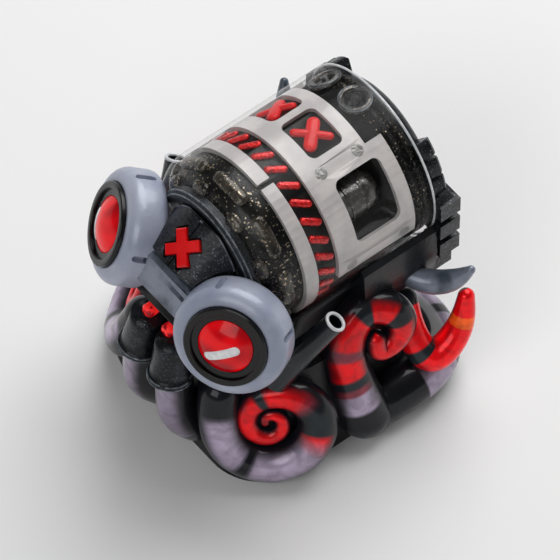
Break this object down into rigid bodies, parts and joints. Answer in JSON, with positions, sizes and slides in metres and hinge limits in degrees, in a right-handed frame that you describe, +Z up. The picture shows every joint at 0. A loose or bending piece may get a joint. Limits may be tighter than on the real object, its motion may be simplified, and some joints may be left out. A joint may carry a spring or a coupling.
{
  "type": "artisan keycap",
  "caption": "Sculpted resin keycap for a cross-stem keyboard switch: a mechanical octopus with a drum body under a clear shell, red goggles and curling arms.",
  "frame": {"origin": "middle of the skirt's flat underside, on the axis of the cross socket", "axes": "+Z up and away from the keyboard, the face looks toward -Y (the typist), +X to the typist's right"},
  "size_m": [0.018, 0.0185, 0.0191],
  "materials": {
    "cast_resin": "gloss cast resin, lilac grey with red and dark tips",
    "stem_plastic": "satin",
    "black_resin": "satin black",
    "white_paint": "satin white paint",
    "red_metallic": "metallic red paint",
    "grey_metal": "worn metal paint",
    "dark_metal": "dark speckled metal paint",
    "clear_resin": "clear polished resin",
    "lilac_metal": "satin lilac grey metal paint",
    "black_gloss": "gloss black",
    "red_dome": "clear red resin over a lit base colour"
  },
  "bodies": {
    "root": {"tentacle_skirt": "cast_resin", "switch_stem": "stem_plastic", "drum_core": "black_resin", "rear_cap": "dark_metal", "front_ring": "white_paint", "window_cage": "white_paint", "cage_rivets": "grey_metal", "channel_dashes": "red_metallic", "window_crosses": "red_metallic", "canister_right": "dark_metal", "canister_left": "dark_metal", "rear_port_right": "grey_metal", "rear_port_left": "grey_metal", "drum_shell": "clear_resin", "collar": "grey_metal", "goggle_right": "lilac_metal", "goggle_left": "lilac_metal", "bezel_right": "black_gloss", "bezel_left": "black_gloss", "lens_right": "red_dome", "lens_left": "red_dome", "head_core": "black_resin", "forehead_plate": "grey_metal", "plus_mark": "red_metallic", "nose_bridge": "lilac_metal", "mouth_lights": "red_dome", "cuff_right": "dark_metal", "cuff_left": "dark_metal", "pipe_right": "black_gloss", "pipe_left": "black_gloss", "rear_strap_right": "black_resin", "rear_strap_left": "black_resin", "side_fin_right": "lilac_metal", "side_fin_left": "lilac_metal", "mantle": "black_resin"}
  },
  "joints": []
}
